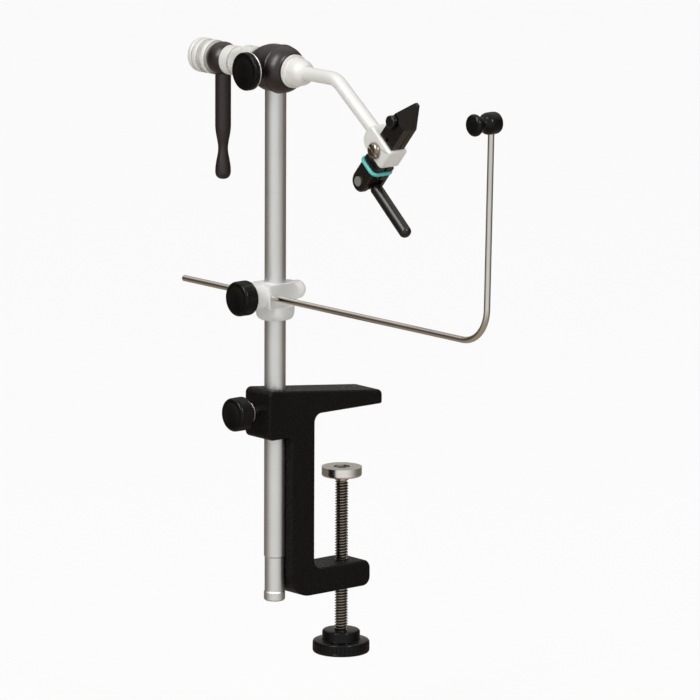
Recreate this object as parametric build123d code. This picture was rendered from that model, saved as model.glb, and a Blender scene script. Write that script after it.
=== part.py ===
from build123d import *
import math
import os

# A fly tying vise on a table clamp, in millimetres.
# The origin is on the table seat under the upper jaw of the clamp, on the line of the clamp screw.
# X runs along the rotary axis towards the jaws, Y away from the tyer and Z up.

os.makedirs("parts", exist_ok=True)

# Clearances
turn_fit = 0.05          # room all round a shaft that turns or slides in its bore
air_gap = 0.35           # room between pieces that move past each other

# Roundings, as a share of the radius or thickness that they round
full_round = 0.9
small_round = 0.2

# Stem, three eighths of an inch thick
stem_radius = 4.7625
stem_reach = 39.1        # from the stem to the clamp screw
stem_bottom = -83.6
stem_relief_radius = 4.45
stem_relief_low = -79.8
stem_relief_high = -63.3
stem_chamfer = 0.6

# Clamp frame
frame_width = 17.5
boss_depth = 10.2        # from the stem to the face with the lock knob
boss_top = 13.6
boss_bottom = -9.0
spine_near = 2.4         # from the stem to the outside of the spine
spine_thickness = 13.9
upper_jaw_reach = 16.5   # from the clamp screw to the tip
upper_jaw_tip = 6.4
lower_arm_reach = 9.9    # from the clamp screw to the end
lower_arm_top = -70.5
lower_arm_thickness = 11.9
heel_radius = 11.5
throat_radius = 4.0
corner_radius = 2.6
frame_edge = 1.1
stem_groove = 0.5        # room round the stem where it passes the spine

# Clamp screw, one quarter of an inch thick
screw_radius = 3.0
pad_radius = 9.05
pad_top = -28.0
pad_thickness = 4.3
pad_edge = 1.0
tip_radius = 2.0
retainer_radius = 3.4
retainer_thickness = 1.0
clamp_knob_gap = 20.4    # from the lower arm down to the knob
clamp_knob_small_radius = 8.55
clamp_knob_small_height = 4.7
clamp_knob_radius = 12.85
clamp_knob_height = 5.7
clamp_knob_edge = 1.2
roll_pin_radius = 1.0

# Three lock knobs with their screws
lock_screw_radius = 2.4
knob_hub_radius = 5.3
knob_edge = 1.3
stem_knob_radius = 7.5
stem_knob_thickness = 7.6
stem_knob_height = 3.55   # above the table seat
stem_knob_gap = 7.2      # from the boss to the knob
stem_knob_hub = 1.7
cradle_knob_radius = 7.75
cradle_knob_thickness = 7.4
cradle_knob_gap = 0.9
drag_knob_radius = 8.15
drag_knob_thickness = 4.4
drag_knob_gap = 2.4

# Collar of the thread cradle
collar_radius = 8.6
collar_bottom = 43.9
collar_height = 16.6
collar_lip = 0.5
collar_round = 4.2       # height of the rounded lower end
collar_flat = 7.0        # from the stem axis to the flats
collar_flat_height = 10.3
collar_block_far = 7.4   # from the stem axis to the far side of the flats
collar_corner = 4.5      # of the far side
collar_boss_radius = 5.7
collar_boss_near = 14.3
collar_boss_far = 9.0
collar_far_radius = 5.3
plug_radius = 2.8
plug_dome_radius = 4.2
plug_dome_height = 7.2
plug_depth = 3.2
plug_lift = 0.6          # above the middle of the boss

# Cradle rod with the spool on its end
rod_radius = 1.4
rod_offset = 7.1         # from the stem axis to the rod axis
rod_axis_drop = 5.2      # from the top of the collar down to the rod
rod_tail = 55.0
rod_reach = 148.9
rod_bend_radius = 15.5
rod_lean = 1.3
rod_rise = 95.8
spool_radius = 4.9
spool_neck_radius = 2.9
spool_flange_radius = 4.85
spool_flange = 1.6
spool_neck = 6.3
spool_barrel = 6.4
spool_edge = 1.2
grub_radius = 1.2

# Rotary head
rotary_height = 156.2
housing_radius = 10.9
housing_band = 4.3       # half the width of the middle band
housing_shoulder_radius = 10.6
housing_half_length = 11.4
housing_face_radius = 6.7
stem_socket_roof = 5.6   # from the rotary axis down to the top of the stem
shaft_radius = 4.0
bushing_radius = 5.2
bushing_length = 5.4
drag_plug_length = 2.2
socket_screw_radius = 1.5
socket_screw_length = 2.4
washer_radius = 6.4
washer_thickness = 0.8
hub_flange_radius = 7.35
hub_flange_thickness = 1.4
hub_dome_radius = 6.2
hub_nose_radius = 3.4
hub_nose_slope = 0.4     # of the dome where it meets the arm
hub_length = 8.0
arm_radius = 3.05
arm_corner = 41.3        # from the stem axis to the corner of the arm
arm_bend_radius = 11.0
arm_drop = 37.0
arm_length = 37.0        # from the corner to the end inside the jaw block
rear_ring_radius = 8.05
rear_ring_length = 8.3
rear_ring_edge = 0.8
shaft_tail_radius = 3.0
drag_collar_radius = 6.65
drag_collar_length = 12.0
drag_collar_groove = 5.4
groove_width = 0.8
groove_depth = 0.5
crank_ball_radius = 7.5
crank_ball_seat = 4.6    # from the centre of the ball to its flat faces
handle_radius = 3.55
handle_waist_radius = 2.2
handle_bulb_radius = 3.5
handle_shank = 29.5      # from the ball centre to the start of the taper
handle_waist = 40.5
handle_length = 54.2
handle_spigot_radius = 2.0
handle_spigot = 2.2      # depth of the spigot in the ball
end_knob_radius = 7.75
end_knob_length = 12.2
end_knob_edge = 2.2
end_knob_groove_depth = 0.45
end_knob_grooves = ((2.5, 2.8), (8.2, 0.7))  # distance from the front of the knob and width

# Jaws
jaw_rise = 49.5          # slope of the jaws
block_length = 10.8
block_thickness = 10.6
block_wall = 1.5         # below the jaws
block_height = 11.4      # above the jaw axis
block_seat = 6.3         # from the jaw axis to the end of the arm
block_seat_back = 4.6
block_round = 5.0
block_edge = 0.9
block_corner = 1.1
jaw_half_height = 4.8
jaw_thickness = 7.4
jaw_split = 1.0          # from the middle to the slit, on the far side
jaw_slit = 0.12
jaw_fit = 0.12           # room round the jaws in the block
jaw_nose = 12.5
jaw_tip = 23.7
jaw_tip_half_height = 0.9
jaw_tip_half_thickness = 0.7
jaw_edge = 0.8
jaw_tail = 24.9          # from the front of the block back to the cam pin
tail_thickness = 10.4    # of both jaws behind the block
shoulder_gap = 1.8       # from the block back to the wider tails
jaw_rock = 1.5           # degrees that the near jaw opens
fulcrum = 10.5           # from the front of the block to the adjusting screw
adjuster_height = 2.6
adjuster_radius = 1.6
adjuster_head_radius = 2.8
adjuster_head_thickness = 2.6
adjuster_sink = 0.8      # depth of the round recess under its head
jaw_hole_radius = 0.9
jaw_hole_place = 1.6
clamp_bolt_radius = 1.5
clamp_bolt_head_radius = 3.65
clamp_bolt_head_thickness = 2.1
clamp_bolt_place = 6.5
clamp_bolt_height = 1.3
clamp_bolt_slot = 0.9
ring_place = 15.4
ring_section = 0.9
ring_seat = 0.6          # depth of the groove for the rubber ring
ring_corner = 2.4
cam_pin_radius = 2.2
cam_pin_stand_out = 0.5
far_tail_thickness = 1.8
cam_hub_radius = 4.2
cam_hub_thickness = 4.2
lever_radius = 2.75
lever_start = 5.2
lever_length = 33.4
lever_neck_radius = 2.0
lever_neck_depth = 4.0
lever_offset = 0.6       # from the cam pin to the lever axis

# Places that follow from the sizes
stem_y = -stem_reach
stem_top = rotary_height - stem_socket_roof
socket_screw_z = rotary_height - (housing_radius + stem_socket_roof) / 2
boss_face = stem_y - boss_depth
spine_inner = stem_y + spine_near + spine_thickness
lower_arm_bottom = lower_arm_top - lower_arm_thickness
pad_bottom = pad_top - pad_thickness
clamp_knob_top = lower_arm_bottom - clamp_knob_gap
clamp_knob_step = clamp_knob_top - clamp_knob_small_height
clamp_knob_bottom = clamp_knob_step - clamp_knob_height
collar_top = collar_bottom + collar_height
rod_z = collar_top - rod_axis_drop
rod_y = stem_y - rod_offset
collar_near_end = stem_y - collar_boss_near
collar_far_end = stem_y + collar_boss_far
washer_start = housing_half_length + turn_fit
hub_start = washer_start + washer_thickness
hub_end = hub_start + hub_flange_thickness + hub_length
ring_start = -housing_half_length - turn_fit
ring_end = ring_start - rear_ring_length
collar_start = ring_end - turn_fit
collar_end = collar_start - drag_collar_length
ball_centre = collar_end - turn_fit - crank_ball_seat
knob_start = ball_centre - crank_ball_seat - turn_fit
knob_end = knob_start - end_knob_length
jaw_near = -jaw_thickness / 2
jaw_far = jaw_thickness / 2
tail_near = -tail_thickness / 2
tail_far = tail_thickness / 2
shoulder = -block_length - shoulder_gap
ring_groove_width = 2 * ring_section
rock_room = (fulcrum + jaw_tail) * math.tan(math.radians(jaw_rock)) + air_gap
hub_far = tail_far - far_tail_thickness - air_gap
hub_near = hub_far - cam_hub_thickness
near_tail_face = hub_near - rock_room
tail_slot_front = -jaw_tail + cam_hub_radius + 2 * air_gap

# Where the arm ends and where the jaws start, on the plane through the stem
drop = math.radians(arm_drop)
rise = math.radians(jaw_rise)
arm_end_x = arm_corner + arm_length * math.cos(drop)
arm_end_z = rotary_height - arm_length * math.sin(drop)
jaw_x = arm_end_x + block_seat_back * math.cos(rise) + block_seat * math.sin(rise)
jaw_z = arm_end_z + block_seat_back * math.sin(rise) - block_seat * math.cos(rise)
jaw_place = Pos(jaw_x, stem_y, jaw_z) * Rot(0, -jaw_rise, 0)
head_place = Pos(0, stem_y, rotary_height) * Rot(0, 90, 0)
ring_plane = Plane(origin=(-ring_place, 0, 0), x_dir=(0, 0, 1), z_dir=(1, 0, 0))


def upright(radius, low, high):
    """A round bar along Z."""
    return Pos(0, 0, (low + high) / 2) * Cylinder(radius, high - low)


def crosswise(radius, near, far):
    """A round bar along Y."""
    return Pos(0, (near + far) / 2, 0) * Rot(90, 0, 0) * Cylinder(radius, far - near)


def turned(*lines):
    """A piece turned round the Z axis, from lines of its half section through (radius, height) points."""
    edges = [edge for line in lines for edge in line.edges()]
    return revolve(Plane.XZ * make_face(edges), Axis.Z)


def rim(shape):
    """The round edges of largest radius."""
    return shape.edges().filter_by(GeomType.CIRCLE).group_by(SortBy.RADIUS)[-1]


def rounded(outline, corners):
    """An outline with the given corners rounded, each a point and a radius."""
    face = make_face(Polyline(*outline, close=True))
    for point, radius in corners:
        face = fillet(face.vertices().sort_by_distance((*point, 0))[0], radius)
    return face


def clamp_frame():
    outer = stem_y + spine_near
    outline = [(boss_face, boss_bottom), (boss_face, boss_top), (upper_jaw_reach, upper_jaw_tip),
               (upper_jaw_reach, 0), (spine_inner, 0), (spine_inner, lower_arm_top),
               (lower_arm_reach, lower_arm_top), (lower_arm_reach, lower_arm_bottom),
               (outer, lower_arm_bottom), (outer, boss_bottom)]
    sizes = [corner_radius, corner_radius, corner_radius, frame_edge, throat_radius, throat_radius,
             throat_radius, throat_radius, heel_radius, corner_radius]
    side = rounded(outline, list(zip(outline, sizes)))
    frame = extrude(Plane.YZ * side, amount=frame_width / 2, both=True)
    frame = fillet(frame.faces().filter_by(Axis.X).edges(), frame_edge)
    frame -= Pos(0, stem_y, 0) * upright(stem_radius + turn_fit, boss_bottom, boss_top)
    frame -= Pos(0, stem_y, 0) * upright(stem_radius + stem_groove, lower_arm_bottom, boss_bottom)
    frame -= upright(screw_radius + turn_fit, lower_arm_bottom, lower_arm_top)
    frame -= Pos(0, 0, stem_knob_height) * crosswise(lock_screw_radius + turn_fit, boss_face, stem_y)
    return frame


def clamp_pad():
    pad = upright(pad_radius, pad_bottom, pad_top)
    pad = fillet(rim(pad).sort_by(Axis.Z)[0], pad_edge)
    pad -= upright(tip_radius + turn_fit, pad_bottom, pad_top)
    recess = pad_top - retainer_thickness - air_gap
    return pad - upright(retainer_radius + air_gap, recess, pad_top)


def clamp_screw():
    screw = upright(screw_radius, clamp_knob_bottom + clamp_knob_edge, pad_bottom - turn_fit)
    screw += upright(tip_radius, pad_bottom - turn_fit, pad_top - air_gap)
    return screw - clamp_knob_pin()


def pad_retainer():
    top = pad_top - air_gap
    ring = upright(retainer_radius, top - retainer_thickness + turn_fit, top)
    return ring - upright(tip_radius, pad_bottom, pad_top)


def clamp_knob():
    small = upright(clamp_knob_small_radius, clamp_knob_step, clamp_knob_top)
    wide = upright(clamp_knob_radius, clamp_knob_bottom, clamp_knob_step)
    knob = fillet(rim(small).sort_by(Axis.Z)[-1], clamp_knob_edge) + fillet(rim(wide), clamp_knob_edge)
    knob -= upright(screw_radius, clamp_knob_bottom + clamp_knob_edge, clamp_knob_top)
    return knob - clamp_knob_pin()


def clamp_knob_pin():
    length = clamp_knob_small_radius - air_gap
    height = (clamp_knob_top + clamp_knob_step) / 2
    return Pos(0, 0, height) * crosswise(roll_pin_radius, -length, length)


def stem():
    section = [(0, stem_bottom), (stem_radius - stem_chamfer, stem_bottom),
               (stem_radius, stem_bottom + stem_chamfer), (stem_radius, stem_relief_low),
               (stem_relief_radius, stem_relief_low + stem_chamfer),
               (stem_relief_radius, stem_relief_high - stem_chamfer), (stem_radius, stem_relief_high),
               (stem_radius, stem_top), (0, stem_top)]
    return Pos(0, stem_y, 0) * turned(Polyline(*section, close=True))


def lock_knob(radius, thickness, face, hub, height):
    """A thumb knob with its face at the given Y, a hub of the given length behind it and a bore for its screw."""
    back = face + thickness
    disc = fillet(rim(crosswise(radius, face, back)), knob_edge)
    disc += crosswise(knob_hub_radius, back, back + hub)
    bore = crosswise(lock_screw_radius, face + thickness / 2, back + hub)
    return Pos(0, 0, height) * (disc - bore)


def lock_screw(thickness, face, tip, height):
    """The screw of a thumb knob, from inside the knob to its tip."""
    return Pos(0, 0, height) * crosswise(lock_screw_radius, face + thickness / 2, tip)


stem_knob_face = boss_face - stem_knob_gap - stem_knob_thickness
cradle_knob_face = collar_near_end - cradle_knob_gap - cradle_knob_thickness
drag_knob_face = stem_y - housing_radius - drag_knob_gap - drag_knob_thickness


def stem_lock_knob():
    return lock_knob(stem_knob_radius, stem_knob_thickness, stem_knob_face, stem_knob_hub, stem_knob_height)


def stem_lock_screw():
    return lock_screw(stem_knob_thickness, stem_knob_face, stem_y - stem_radius - air_gap, stem_knob_height)


def cradle_lock_knob():
    hub = cradle_knob_gap - air_gap
    return lock_knob(cradle_knob_radius, cradle_knob_thickness, cradle_knob_face, hub, rod_z)


def cradle_lock_screw():
    return lock_screw(cradle_knob_thickness, cradle_knob_face, rod_y - rod_radius - air_gap, rod_z)


def cradle_collar():
    lip = stem_radius + turn_fit + collar_lip
    low = (lip, collar_bottom)
    high = (collar_radius, collar_bottom + collar_round)
    ring = turned(Spline(low, high, tangents=[(1, 0), (0, 1)]),
                  Polyline(high, (collar_radius, collar_top), (0, collar_top), (0, collar_bottom), low))
    flat_bottom = collar_top - collar_flat_height
    outline = [(-collar_radius, flat_bottom), (collar_block_far, flat_bottom),
               (collar_block_far, collar_top), (-collar_radius, collar_top)]
    side = rounded(outline, [(outline[1], collar_corner), (outline[2], collar_corner)])
    collar = ring + extrude(Plane.YZ * side, amount=collar_flat, both=True)
    beside = Box(2 * collar_radius, 4 * collar_radius, collar_flat_height)
    for way in (-1, 1):
        collar -= Pos(way * (collar_flat + collar_radius), 0, (flat_bottom + collar_top) / 2) * beside
    collar += Pos(0, 0, rod_z) * crosswise(collar_boss_radius, -collar_boss_near, 0)
    collar += Pos(0, 0, rod_z) * crosswise(collar_far_radius, 0, collar_boss_far)
    collar -= upright(stem_radius + turn_fit, collar_bottom, collar_top + collar_radius)
    bore = Rot(0, 90, 0) * Cylinder(rod_radius + turn_fit, 4 * collar_radius)
    collar -= Pos(0, -rod_offset, rod_z) * bore
    screw_hole = crosswise(lock_screw_radius + turn_fit, -collar_boss_near, -rod_offset)
    collar -= Pos(0, 0, rod_z) * screw_hole
    socket = crosswise(plug_radius, collar_boss_far - plug_depth, collar_boss_far)
    collar -= Pos(0, 0, rod_z + plug_lift) * socket
    return Pos(0, stem_y, 0) * collar


def cradle_tension_plug():
    dome = upright(plug_dome_radius, 0, plug_dome_height)
    dome = fillet(rim(dome).sort_by(Axis.Z)[-1], full_round * plug_dome_radius)
    dome += upright(plug_radius, -plug_depth, 0)
    return Pos(0, collar_far_end, rod_z + plug_lift) * Rot(-90, 0, 0) * dome


lean = math.radians(rod_lean)
spool_x = rod_reach + rod_rise * math.sin(lean)
spool_z = rod_z + rod_rise * math.cos(lean)


def cradle_rod():
    start = (-rod_tail, rod_y, rod_z)
    corner = (rod_reach, rod_y, rod_z)
    path = FilletPolyline(start, corner, (spool_x, rod_y, spool_z), radius=rod_bend_radius)
    section = Plane(origin=start, z_dir=(1, 0, 0)) * Circle(rod_radius)
    return sweep(section, path=path)


def cradle_spool():
    near = -spool_barrel / 2 - spool_neck - spool_flange
    barrel = fillet(rim(crosswise(spool_radius, -spool_barrel / 2, spool_barrel / 2)), spool_edge)
    neck = crosswise(spool_neck_radius, -spool_barrel / 2 - spool_neck, 0)
    flange = crosswise(spool_flange_radius, near, near + spool_flange)
    flange = fillet(rim(flange), small_round * spool_flange)
    spool = Pos(spool_x, rod_y, spool_z) * (barrel + neck + flange)
    return spool - cradle_rod() - spool_grub_screw()


def spool_grub_screw():
    depth = spool_barrel / 2 - rod_radius
    return Pos(spool_x, rod_y, spool_z) * crosswise(grub_radius, rod_radius, rod_radius + depth)


def head_housing():
    band = [(housing_shoulder_radius, -housing_band), (housing_radius, -housing_band),
            (housing_radius, housing_band), (housing_shoulder_radius, housing_band)]
    back = (housing_face_radius, -housing_half_length)
    front = (housing_face_radius, housing_half_length)
    middle = Polyline(front, (0, housing_half_length), (0, -housing_half_length), back)
    shell = turned(Polyline(*band), Spline(band[-1], front, tangents=[(0, 1), (-1, 0)]), middle,
                   Spline(back, band[0], tangents=[(1, 0), (0, 1)]))
    shell -= upright(shaft_radius + turn_fit, -housing_half_length, housing_half_length)
    for way in (-1, 1):
        middle = way * (housing_half_length - bushing_length / 2)
        shell -= Pos(0, 0, middle) * Cylinder(bushing_radius, bushing_length)
    shell = head_place * shell
    socket = upright(stem_radius + turn_fit, rotary_height - housing_radius, stem_top + turn_fit)
    shell -= Pos(0, stem_y, 0) * socket
    hole = crosswise(lock_screw_radius + turn_fit, stem_y - housing_radius, stem_y)
    shell -= Pos(0, 0, rotary_height) * hole
    return shell - socket_screw_space()


def socket_screw_space():
    hole = crosswise(socket_screw_radius, stem_y + stem_radius, stem_y + housing_radius)
    return Pos(0, 0, socket_screw_z) * hole


def housing_set_screw():
    start = stem_y + stem_radius + turn_fit
    screw = crosswise(socket_screw_radius, start, start + socket_screw_length)
    return Pos(0, 0, socket_screw_z) * screw


def bushing(way):
    ring = upright(bushing_radius, -bushing_length / 2, bushing_length / 2)
    ring -= upright(shaft_radius + turn_fit, -bushing_length / 2, bushing_length / 2)
    return head_place * Pos(0, 0, way * (housing_half_length - bushing_length / 2)) * ring


drag_plug_start = stem_y - shaft_radius - turn_fit


def drag_plug():
    plug = crosswise(lock_screw_radius, drag_plug_start - drag_plug_length, drag_plug_start)
    return Pos(0, 0, rotary_height) * plug


def drag_knob():
    hub = drag_knob_gap - air_gap
    return lock_knob(drag_knob_radius, drag_knob_thickness, drag_knob_face, hub, rotary_height)


def drag_screw():
    tip = drag_plug_start - drag_plug_length - air_gap
    return lock_screw(drag_knob_thickness, drag_knob_face, tip, rotary_height)


shaft_front = hub_start + hub_flange_thickness + hub_length / 4
shaft_step = collar_start
shaft_end = knob_end + end_knob_edge


def rotary_shaft():
    return head_place * (upright(shaft_radius, shaft_step, shaft_front)
                         + upright(shaft_tail_radius, shaft_end, shaft_step))


def thrust_washer():
    ring = upright(washer_radius, washer_start, hub_start)
    return head_place * (ring - upright(shaft_radius, washer_start, hub_start))


def rotary_hub():
    flange_end = hub_start + hub_flange_thickness
    dome = (hub_dome_radius, flange_end)
    nose = (hub_nose_radius, hub_end)
    flange = Polyline(nose, (0, hub_end), (0, hub_start), (hub_flange_radius, hub_start),
                      (hub_flange_radius, flange_end), dome)
    hub = turned(flange, Spline(dome, nose, tangents=[(0, 1), (-1, hub_nose_slope)]))
    hub -= upright(shaft_radius, hub_start, shaft_front) + upright(arm_radius, shaft_front, hub_end)
    return head_place * hub


def rotary_arm():
    start = (shaft_front, stem_y, rotary_height)
    corner = (arm_corner, stem_y, rotary_height)
    end = (arm_end_x, stem_y, arm_end_z)
    path = FilletPolyline(start, corner, end, radius=arm_bend_radius)
    return sweep(Plane(origin=start, z_dir=(1, 0, 0)) * Circle(arm_radius), path=path)


def rear_ring():
    ring = fillet(rim(upright(rear_ring_radius, ring_end, ring_start)), rear_ring_edge)
    return head_place * (ring - upright(shaft_radius, ring_end, ring_start))


def drag_collar():
    collar = fillet(rim(upright(drag_collar_radius, collar_end, collar_start)), groove_depth)
    low = collar_end + drag_collar_groove
    groove = upright(drag_collar_radius, low, low + groove_width)
    collar -= groove - upright(drag_collar_radius - groove_depth, low, low + groove_width)
    return head_place * (collar - upright(shaft_tail_radius + turn_fit, collar_end, collar_start))


def crank_ball():
    ball = Pos(0, 0, ball_centre) * Sphere(crank_ball_radius)
    flats = Pos(0, 0, ball_centre) * Box(4 * crank_ball_radius, 4 * crank_ball_radius, 2 * crank_ball_seat)
    ball = head_place * ((ball & flats) - upright(shaft_tail_radius, shaft_end, shaft_step))
    return ball - crank_handle() - crank_grub_screw()


def crank_handle():
    seat = math.sqrt(crank_ball_radius ** 2 - handle_radius ** 2)
    shank_end = (handle_radius, handle_shank)
    bulb = (handle_bulb_radius, handle_length - handle_bulb_radius)
    end = (0, handle_length)
    shank = Polyline(end, (0, seat - handle_spigot), (handle_spigot_radius, seat - handle_spigot),
                     (handle_spigot_radius, seat), (handle_radius, seat), shank_end)
    waist = Spline(shank_end, (handle_waist_radius, handle_waist), bulb, tangents=[(0, 1), (0, 1)])
    tip = Spline(bulb, end, tangents=[(0, 1), (-1, 0)])
    return Pos(ball_centre, stem_y, rotary_height) * Rot(180, 0, 0) * turned(shank, waist, tip)


def crank_grub_screw():
    screw = crosswise(grub_radius, stem_y + shaft_tail_radius, stem_y + crank_ball_radius - groove_depth)
    return Pos(ball_centre, 0, rotary_height) * screw


def end_knob():
    knob = upright(end_knob_radius, knob_end, knob_start)
    knob = fillet(rim(knob).sort_by(Axis.Z)[0], end_knob_edge)
    for place, width in end_knob_grooves:
        high = knob_start - place
        band = upright(end_knob_radius, high - width, high)
        knob -= band - upright(end_knob_radius - end_knob_groove_depth, high - width, high)
    return head_place * (knob - upright(shaft_tail_radius + turn_fit, shaft_end - air_gap, knob_start))


def across(radius, near, far, along, height):
    """A round bar along Y in the frame of the jaws."""
    return Pos(along, 0, height) * crosswise(radius, near, far)


def jaw_block():
    low = -jaw_half_height - jaw_fit - block_wall
    outline = [(-block_length, low), (0, low), (0, block_height), (-block_length, block_height)]
    sizes = [block_corner, block_corner, block_round / 2, block_round]
    side = rounded(outline, list(zip(outline, sizes)))
    block = extrude(Plane.XZ * side, amount=block_thickness / 2, both=True)
    block = fillet(block.faces().filter_by(Axis.Y).edges(), block_edge)
    window = Box(4 * block_length, jaw_thickness + 2 * jaw_fit, 2 * (jaw_half_height + jaw_fit))
    block -= window
    block -= across(clamp_bolt_radius + turn_fit, -block_thickness, 0, -clamp_bolt_place, clamp_bolt_height)
    return jaw_place * block - rotary_arm()


def jaw_clamp_bolt():
    face = -block_thickness / 2 - turn_fit
    head = crosswise(clamp_bolt_head_radius, face - clamp_bolt_head_thickness, face)
    head = fillet(rim(head).sort_by(Axis.Y)[0], full_round * clamp_bolt_head_thickness)
    slot = Box(clamp_bolt_slot, 2 * clamp_bolt_slot, 2 * clamp_bolt_head_radius)
    head -= Pos(0, face - clamp_bolt_head_thickness, 0) * slot
    shank = crosswise(clamp_bolt_radius, face, jaw_near - air_gap)
    return jaw_place * Pos(-clamp_bolt_place, 0, clamp_bolt_height) * (head + shank)


def jaw_side():
    """The side view of both jaws, from the round tail to the tip."""
    outline = [(-jaw_tail, -jaw_half_height), (jaw_nose, -jaw_half_height), (jaw_tip, -jaw_tip_half_height),
               (jaw_tip, jaw_tip_half_height), (jaw_nose, jaw_half_height), (-jaw_tail, jaw_half_height)]
    flat = make_face(Polyline(*outline, close=True)) + Pos(-jaw_tail, 0) * Circle(jaw_half_height)
    return extrude(Plane.XZ * flat, amount=tail_thickness, both=True)


def jaw_plan(points):
    """A slab with the given top view, for one jaw."""
    flat = make_face(Polyline(*points, close=True))
    return extrude(flat, amount=2 * jaw_half_height, both=True)


def jaw_groove(depth, width):
    """The space round both jaws that the rubber ring needs."""
    room = Pos(-ring_place, 0, 0) * Box(width, 2 * tail_thickness, 4 * jaw_half_height)
    high = 2 * (jaw_half_height - depth)
    flat = RectangleRounded(high, tail_thickness - 2 * depth, ring_corner - ring_section)
    core = extrude(ring_plane * flat, amount=2 * width, both=True)
    return room - core


def near_jaw():
    back = -jaw_tail - 2 * jaw_half_height
    face = jaw_split - jaw_slit
    wedge = (fulcrum + jaw_tail + 2 * jaw_half_height) * math.tan(math.radians(jaw_rock))
    plan = jaw_plan([(back, tail_near), (shoulder, tail_near), (shoulder, jaw_near), (jaw_nose, jaw_near),
                     (jaw_tip, face - jaw_tip_half_thickness),
                     (jaw_tip, face), (fulcrum, face), (fulcrum, face - air_gap / 2),
                     (back, face - air_gap - wedge)])
    jaw = jaw_side() & plan
    jaw = chamfer(jaw.edges().filter_by(Axis.X).group_by(Axis.Y)[0], jaw_edge)
    slot_length = jaw_tail + 2 * jaw_half_height
    slot = Box(slot_length, tail_thickness, 4 * jaw_half_height)
    jaw -= Pos(tail_slot_front - slot_length / 2, near_tail_face + tail_thickness / 2, 0) * slot
    jaw -= jaw_groove(ring_seat + air_gap / 2, ring_groove_width + 2 * air_gap)
    jaw -= across(adjuster_radius + air_gap, jaw_near, jaw_far, fulcrum, adjuster_height)
    recess = adjuster_head_radius + 2 * air_gap
    jaw -= across(recess, jaw_near, jaw_near + adjuster_sink, fulcrum, adjuster_height)
    jaw -= across(cam_pin_radius + air_gap, tail_near, tail_far, -jaw_tail, 0)
    jaw -= across(jaw_hole_radius, jaw_near, jaw_near + 2 * jaw_hole_radius, jaw_hole_place, 0)
    return jaw_place * jaw


def far_jaw():
    back = -jaw_tail - 2 * jaw_half_height
    plan = jaw_plan([(back, jaw_split), (jaw_tip, jaw_split), (jaw_tip, jaw_split + jaw_tip_half_thickness),
                     (jaw_nose, jaw_far), (shoulder, jaw_far), (shoulder, tail_far), (back, tail_far)])
    jaw = jaw_side() & plan
    slot_length = jaw_tail + 2 * jaw_half_height
    slot = Box(slot_length, tail_thickness, 4 * jaw_half_height)
    far_face = tail_far - far_tail_thickness
    jaw -= Pos(tail_slot_front - slot_length / 2, far_face - tail_thickness / 2, 0) * slot
    jaw -= jaw_groove(ring_seat, ring_groove_width)
    jaw -= across(adjuster_radius + turn_fit, jaw_near, jaw_far, fulcrum, adjuster_height)
    jaw -= across(cam_pin_radius, tail_near, tail_far, -jaw_tail, 0)
    return jaw_place * jaw


def jaw_adjusting_screw():
    under = jaw_near + adjuster_sink - air_gap
    head = crosswise(adjuster_head_radius, under - adjuster_head_thickness, under)
    head = fillet(rim(head).sort_by(Axis.Y)[0], small_round * adjuster_head_thickness)
    shank = crosswise(adjuster_radius, under, jaw_far)
    return jaw_place * Pos(fulcrum, 0, adjuster_height) * (head + shank)


def jaw_o_ring():
    grow = ring_section - ring_seat
    high = 2 * (jaw_half_height + grow)
    wide = tail_thickness + 2 * grow
    loop = RectangleRounded(high, wide, ring_corner).wire()
    path = ring_plane * loop
    section = Plane(origin=path @ 0, z_dir=path % 0) * Circle(ring_section)
    return jaw_place * sweep(section, path=path)


def cam_pin():
    return jaw_place * across(cam_pin_radius, tail_near - cam_pin_stand_out, tail_far, -jaw_tail, 0)


def cam_hub():
    hub = crosswise(cam_hub_radius, hub_near, hub_far)
    neck = upright(lever_neck_radius, -lever_start - lever_neck_depth, 0)
    hub += Pos(lever_offset, (hub_near + hub_far) / 2, 0) * neck
    hub -= crosswise(cam_pin_radius + turn_fit, tail_near, tail_far)
    return jaw_place * Pos(-jaw_tail, 0, 0) * hub


def lever_rod():
    grip = upright(lever_radius, -lever_length, -lever_start)
    grip = fillet(rim(grip).sort_by(Axis.Z)[0], full_round * lever_radius)
    grip = fillet(rim(grip).sort_by(Axis.Z)[-1], small_round * lever_radius)
    grip -= upright(lever_neck_radius, -lever_start - lever_neck_depth, 0)
    return jaw_place * Pos(-jaw_tail + lever_offset, (hub_near + hub_far) / 2, 0) * grip


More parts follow.
